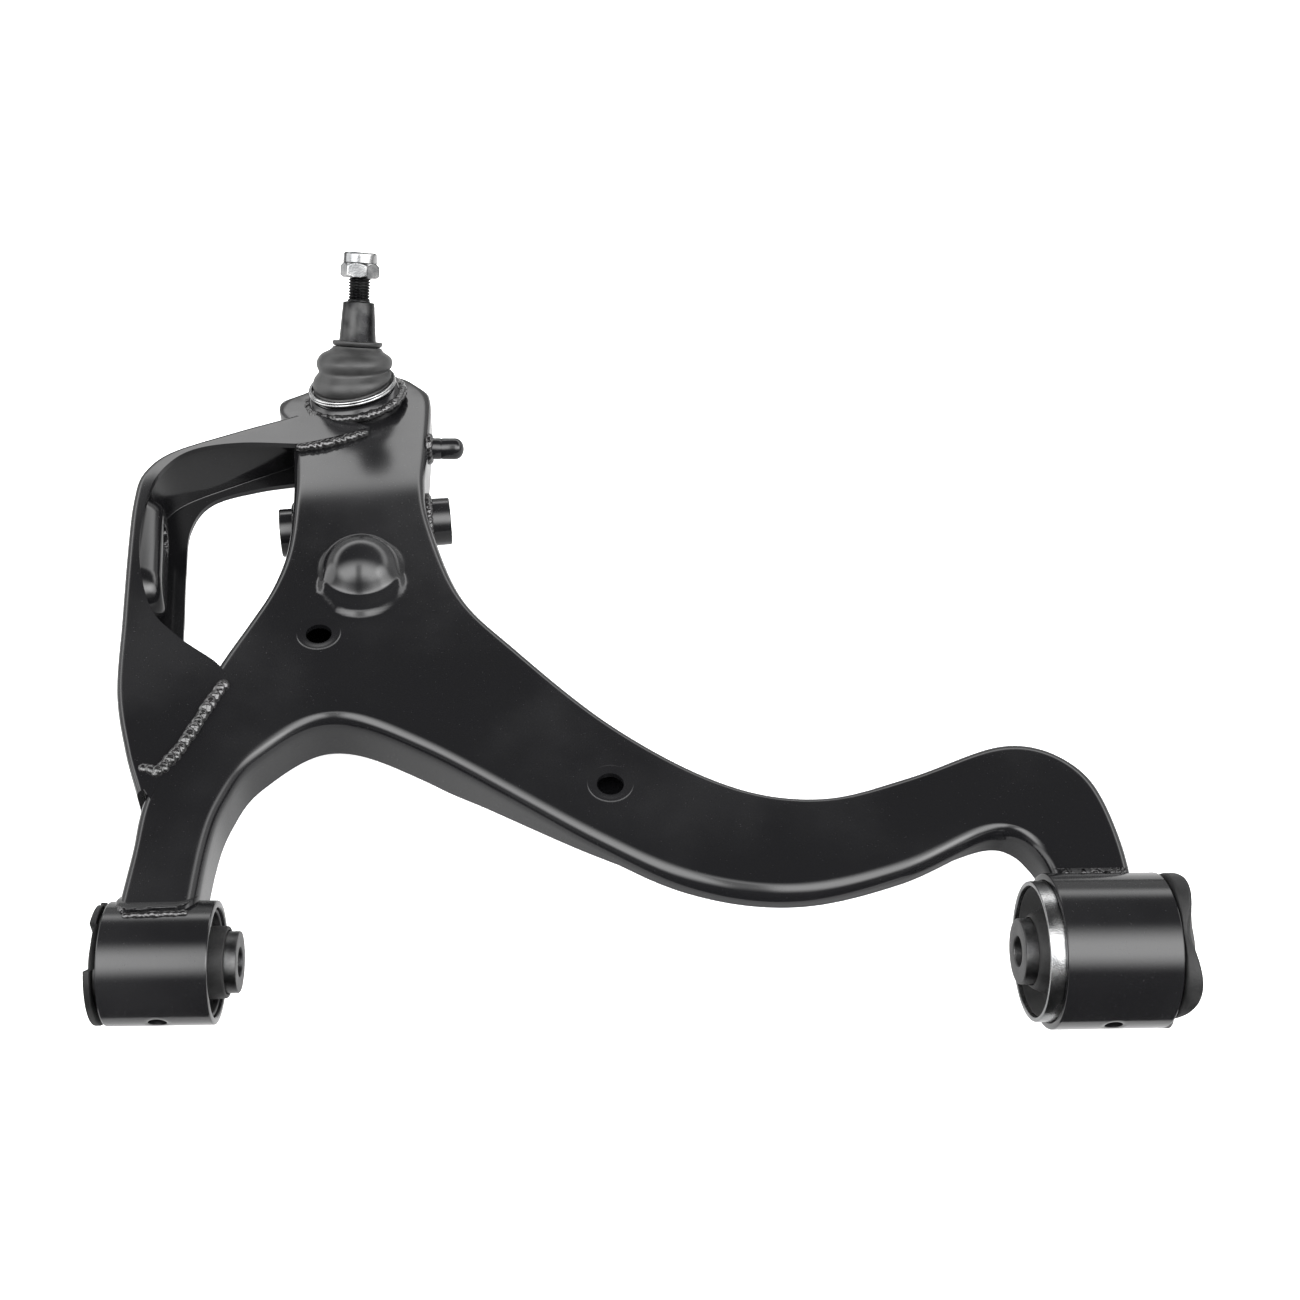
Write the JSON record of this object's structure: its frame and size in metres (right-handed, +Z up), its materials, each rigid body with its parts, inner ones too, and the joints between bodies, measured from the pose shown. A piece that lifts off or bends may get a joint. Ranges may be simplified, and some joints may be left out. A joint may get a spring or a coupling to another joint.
{
  "type": "suspension control arm",
  "caption": "Pressed steel lower suspension arm with pivot bushes, a welded damper bracket and a ball joint with a leaning threaded stud.",
  "frame": {"origin": "on the pivot axis, halfway between the centres of the two bushes", "axes": "+X along the pivot axis from the front bush to the rear bush, +Y outboard to the ball joint, +Z up"},
  "size_m": [0.622, 0.5696, 0.1468],
  "materials": {
    "black_paint": "high gloss black paint",
    "weld_paint": "gloss black paint over rough weld bead",
    "bush_rubber": "matte moulded rubber",
    "boot_rubber": "satin moulded rubber",
    "core_steel": "turned steel, lightly phosphated",
    "zinc_plate": "bright zinc plate",
    "oiled_steel": "dark oiled steel",
    "seat_plastic": "natural acetal"
  },
  "bodies": {
    "arm": {"upper_shell": "black_paint", "lower_shell": "black_paint", "damper_bracket": "black_paint", "front_bush_housing_sleeve": "black_paint", "rear_bush_housing_sleeve": "black_paint", "front_bush_press_shell": "core_steel", "front_bush_rubber": "bush_rubber", "rear_bush_press_shell": "zinc_plate", "rear_bush_rubber": "bush_rubber", "rear_bush_end_stop": "bush_rubber", "damper_cross_tube": "black_paint", "side_peg": "black_paint", "ball_joint_housing": "black_paint", "ball_seat": "seat_plastic", "seat_spring_washer": "core_steel", "housing_cover_plate": "core_steel", "bracket_seam_weld": "weld_paint", "bracket_ear_weld": "weld_paint", "front_sleeve_weld": "weld_paint", "rear_sleeve_weld": "weld_paint", "housing_weld": "weld_paint", "tube_weld_front": "weld_paint", "tube_weld_rear": "weld_paint", "side_peg_weld": "weld_paint"},
    "front_bush_core": {"front_bush_core_sleeve": "core_steel"},
    "rear_bush_core": {"rear_bush_core_sleeve": "core_steel"},
    "boot_clip": {"boot_clip_ring": "zinc_plate", "dust_boot": "boot_rubber"},
    "boot_top": {"boot_collar": "boot_rubber"},
    "stud": {"ball_stud": "oiled_steel", "stud_nut": "zinc_plate"}
  },
  "joints": [
    {"name": "front_bush_twist", "type": "hinge", "parent": "arm", "child": "front_bush_core", "pos_m": [-0.2563, 0, 0], "axis": [1, 0, 0], "range_deg": [-20, 20], "stiffness_Nm_per_rad": 30},
    {"name": "rear_bush_twist", "type": "hinge", "parent": "arm", "child": "rear_bush_core", "pos_m": [0.257, 0, 0], "axis": [1, 0, 0], "range_deg": [-20, 20], "stiffness_Nm_per_rad": 40},
    {"name": "stud_lean_direction", "type": "hinge", "parent": "arm", "child": "boot_clip", "pos_m": [-0.1835, 0.4561, 0.0135], "axis": [-0.138, 0.224, 0.9648], "continuous": true},
    {"name": "stud_lean", "type": "hinge", "parent": "boot_clip", "child": "boot_top", "pos_m": [-0.1835, 0.4561, 0.0135], "axis": [-0.9003, 0.3777, -0.2164], "range_deg": [-25.6, 2], "deforming": ["dust_boot"]},
    {"name": "stud_spin", "type": "hinge", "parent": "boot_top", "child": "stud", "pos_m": [-0.1835, 0.4561, 0.0135], "axis": [0.054, 0.5903, 0.8054], "continuous": true}
  ]
}
